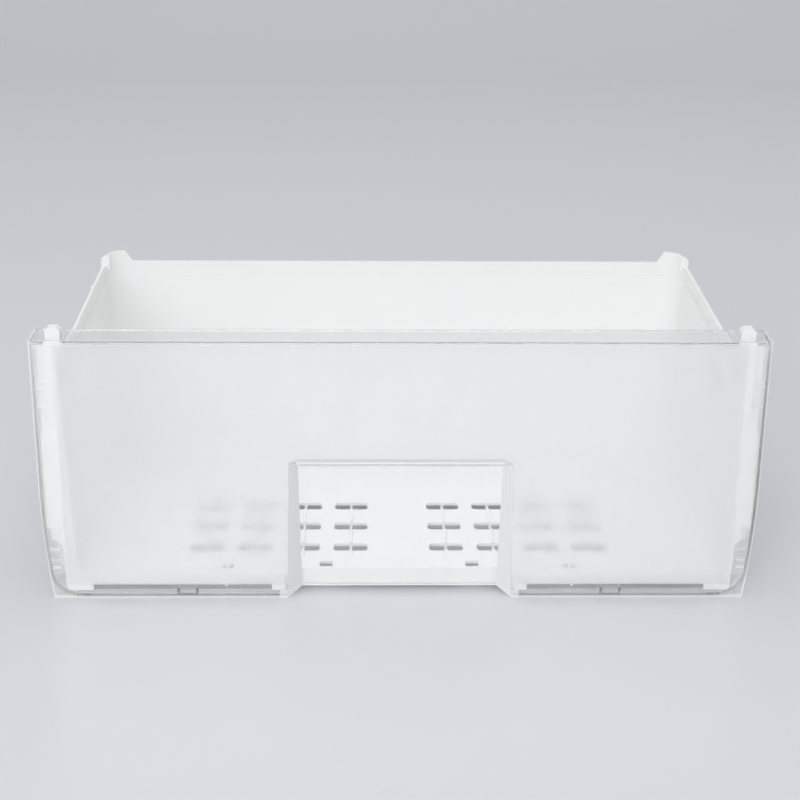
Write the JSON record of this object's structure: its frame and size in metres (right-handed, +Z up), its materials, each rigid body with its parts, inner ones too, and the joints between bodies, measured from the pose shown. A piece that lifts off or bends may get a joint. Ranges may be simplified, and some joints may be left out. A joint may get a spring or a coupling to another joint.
{
  "type": "freezer drawer",
  "caption": "Freezer drawer: open white moulded basket with slotted floor, closed at the front by a clear clipped-on cover with a finger recess.",
  "frame": {"origin": "middle of the drawer at the level of the surface it stands on", "axes": "+X to the drawer's right seen from the front, +Y to the rear, +Z up; the clear cover faces -Y"},
  "size_m": [0.4368, 0.2226, 0.1755],
  "materials": {
    "basket_white": "satin moulded",
    "cover_clear": "clear plastic, frosted on the main field"
  },
  "bodies": {
    "basket": {"basket": "basket_white"},
    "front_cover": {"front_cover": "cover_clear"}
  },
  "joints": [
    {"name": "cover_pull_off", "type": "slide", "parent": "basket", "child": "front_cover", "axis": [0, -1, 0], "range_m": [0, 0.03]}
  ]
}
